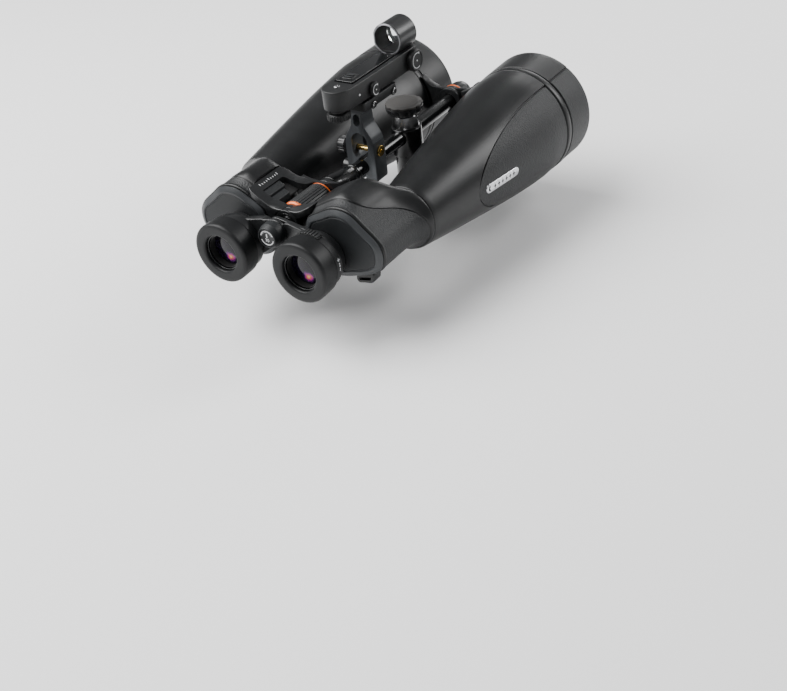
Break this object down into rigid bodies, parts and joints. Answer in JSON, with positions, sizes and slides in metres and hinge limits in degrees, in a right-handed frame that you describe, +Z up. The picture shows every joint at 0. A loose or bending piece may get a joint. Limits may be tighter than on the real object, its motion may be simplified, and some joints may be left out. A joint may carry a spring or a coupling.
{
  "type": "astronomy binoculars",
  "caption": "Giant Porro-prism binoculars on a sliding tripod post along a centre rod, with a red dot finder clamped to the rod.",
  "frame": {"origin": "centre of the underside of the tripod post, at the mouth of its threaded socket", "axes": "+X to the user's right, +Y the viewing direction towards the objectives, +Z up along the post"},
  "size_m": [0.2234, 0.3007, 0.175],
  "materials": {
    "armour": "matte black rubber armour, partly grained",
    "plastic": "satin moulded black plastic",
    "rubber": "soft black rubber",
    "gloss_black": "gloss black coated metal",
    "steel": "bright turned steel",
    "brass": "bare turned brass",
    "gunmetal": "satin gunmetal coating",
    "grey_cap": "worn grey plastic",
    "glass": "coated optical glass",
    "prism_glass": "polished prism glass"
  },
  "bodies": {
    "mount_post": {"tripod_post": "gloss_black", "socket_insert": "brass", "post_collar": "steel"},
    "post_knob": {"knob_screw": "steel", "post_knob_cap": "grey_cap"},
    "core": {"center_rod": "gloss_black", "hinge_barrel": "gloss_black", "front_hub_cap": "plastic"},
    "left_half": {"left_prism_housing": "armour", "left_rear_cover": "armour", "left_strap_lug": "armour", "left_barrel": "armour", "left_dew_shield": "armour", "left_objective_lens": "glass", "left_lens_cell": "plastic", "left_prism_shelf": "steel", "left_rear_prism": "prism_glass", "left_front_prism": "prism_glass", "left_hinge_lug": "armour", "left_front_arm": "armour"},
    "right_half": {"right_prism_housing": "armour", "right_rear_cover": "armour", "right_strap_lug": "armour", "right_barrel": "armour", "right_dew_shield": "armour", "right_objective_lens": "glass", "right_lens_cell": "plastic", "right_prism_shelf": "steel", "right_rear_prism": "prism_glass", "right_front_prism": "prism_glass", "right_hinge_lug": "armour", "right_front_arm": "armour"},
    "focus_wheel": {"focus_wheel_grip": "rubber"},
    "eyepiece_bridge": {"focus_shaft": "steel", "hinge_dial_cap": "plastic"},
    "left_eyepiece": {"left_bridge_arm": "plastic", "left_eyepiece_tube": "plastic", "left_eye_lens": "glass"},
    "right_eyepiece": {"right_bridge_arm": "plastic"},
    "right_ocular": {"right_eyepiece_tube": "plastic", "right_eye_lens": "glass"},
    "diopter_ring": {"diopter_grip": "rubber"},
    "left_cup_sleeve": {"left_twist_sleeve": "plastic"},
    "left_eyecup": {"left_eyecup_rubber": "rubber"},
    "right_cup_sleeve": {"right_twist_sleeve": "plastic"},
    "right_eyecup": {"right_eyecup_rubber": "rubber"},
    "finder_clamp": {"finder_bracket": "gunmetal", "bracket_cross_pin": "brass", "finder_rail": "gunmetal"},
    "clamp_nut": {"clamp_nut_knob": "plastic"},
    "clamp_lever": {"clamp_lever_knob": "plastic"},
    "finder_swivel": {"finder_base": "plastic", "base_screw_rear": "steel", "base_screw_front": "steel"},
    "finder_body": {"finder_housing": "plastic", "finder_tube": "plastic", "finder_window": "glass"},
    "altitude_knob": {"altitude_dial": "plastic"},
    "power_knob": {"power_dial": "plastic"},
    "azimuth_knob": {"azimuth_wheel": "plastic"}
  },
  "joints": [
    {"name": "post_knob_turn", "type": "hinge", "parent": "mount_post", "child": "post_knob", "pos_m": [0, 0, 0.1], "axis": [0, 0, 1], "range_deg": [0, 720]},
    {"name": "post_slide", "type": "slide", "parent": "mount_post", "child": "core", "axis": [0, 1, 0], "range_m": [-0.035, 0.03]},
    {"name": "left_hinge", "type": "hinge", "parent": "core", "child": "left_half", "pos_m": [0, 0, 0.08], "axis": [0, 1, 0], "range_deg": [-20, 7]},
    {"name": "right_hinge", "type": "hinge", "parent": "core", "child": "right_half", "pos_m": [0, 0, 0.08], "axis": [0, 1, 0], "range_deg": [-7, 20]},
    {"name": "bridge_slide", "type": "slide", "parent": "core", "child": "eyepiece_bridge", "axis": [0, 1, 0], "range_m": [-0.006, 0.003]},
    {"name": "focus_turn", "type": "hinge", "parent": "core", "child": "focus_wheel", "pos_m": [0, -0.134, 0.08], "axis": [0, 1, 0], "range_deg": [-289, 145]},
    {"name": "left_focus_slide", "type": "slide", "parent": "left_half", "child": "left_eyepiece", "axis": [0, 1, 0], "range_m": [-0.0061, 0.0031]},
    {"name": "right_focus_slide", "type": "slide", "parent": "right_half", "child": "right_eyepiece", "axis": [0, 1, 0], "range_m": [-0.0061, 0.0031]},
    {"name": "right_diopter_slide", "type": "slide", "parent": "right_eyepiece", "child": "right_ocular", "axis": [0, 1, 0], "range_m": [-0.0015, 0.0015]},
    {"name": "diopter_turn", "type": "hinge", "parent": "right_ocular", "child": "diopter_ring", "pos_m": [0.035, -0.177, 0.0663], "axis": [0, 1, 0], "range_deg": [-61, 61]},
    {"name": "left_cup_twist", "type": "hinge", "parent": "left_cup_sleeve", "child": "left_eyecup", "pos_m": [-0.035, -0.19, 0.0663], "axis": [0, 1, 0], "range_deg": [0, 120]},
    {"name": "left_cup_lift", "type": "slide", "parent": "left_eyepiece", "child": "left_cup_sleeve", "axis": [0, -1, 0], "range_m": [0, 0.0081]},
    {"name": "right_cup_twist", "type": "hinge", "parent": "right_cup_sleeve", "child": "right_eyecup", "pos_m": [0.035, -0.19, 0.0663], "axis": [0, 1, 0], "range_deg": [0, 120]},
    {"name": "right_cup_lift", "type": "slide", "parent": "right_ocular", "child": "right_cup_sleeve", "axis": [0, -1, 0], "range_m": [0, 0.0081]},
    {"name": "finder_clamp_slide", "type": "slide", "parent": "core", "child": "finder_clamp", "axis": [0, 1, 0], "range_m": [-0.01, 0]},
    {"name": "clamp_nut_turn", "type": "hinge", "parent": "finder_clamp", "child": "clamp_nut", "pos_m": [-0.018, -0.0569, 0.0923], "axis": [1, 0, 0], "range_deg": [0, 720]},
    {"name": "clamp_lever_turn", "type": "hinge", "parent": "finder_clamp", "child": "clamp_lever", "pos_m": [-0.017, -0.0569, 0.0753], "axis": [1, 0, 0], "range_deg": [0, 720]},
    {"name": "altitude_turn", "type": "hinge", "parent": "finder_body", "child": "altitude_knob", "pos_m": [0.014, -0.0005, 0.1431], "axis": [1, 0, 0], "range_deg": [-181, 181]},
    {"name": "finder_tilt", "type": "hinge", "parent": "finder_swivel", "child": "finder_body", "pos_m": [0, -0.03, 0.1355], "axis": [1, 0, 0], "range_deg": [-2, 2]},
    {"name": "azimuth_turn", "type": "hinge", "parent": "finder_body", "child": "azimuth_knob", "pos_m": [0, -0.0841, 0.1313], "axis": [0, 0, 1], "range_deg": [-181, 181]},
    {"name": "finder_swing", "type": "hinge", "parent": "finder_clamp", "child": "finder_swivel", "pos_m": [0, -0.045, 0.1273], "axis": [0, 0, 1], "range_deg": [-2, 2]},
    {"name": "power_turn", "type": "hinge", "parent": "finder_body", "child": "power_knob", "pos_m": [0.014, -0.0551, 0.1412], "axis": [1, 0, 0], "range_deg": [0, 270]}
  ],
  "couplings": [
    {"joint": "right_hinge", "follows": "left_hinge", "ratio": -1},
    {"joint": "focus_turn", "follows": "bridge_slide", "rad_per_m": 837.76},
    {"joint": "left_focus_slide", "follows": "bridge_slide", "ratio": 1},
    {"joint": "right_focus_slide", "follows": "bridge_slide", "ratio": 1},
    {"joint": "diopter_turn", "follows": "right_diopter_slide", "rad_per_m": 698.13},
    {"joint": "left_cup_lift", "follows": "left_cup_twist", "m_per_rad": 0.0038197},
    {"joint": "right_cup_lift", "follows": "right_cup_twist", "m_per_rad": 0.0038197},
    {"joint": "altitude_turn", "follows": "finder_tilt", "ratio": 90},
    {"joint": "azimuth_turn", "follows": "finder_swing", "ratio": 90}
  ]
}
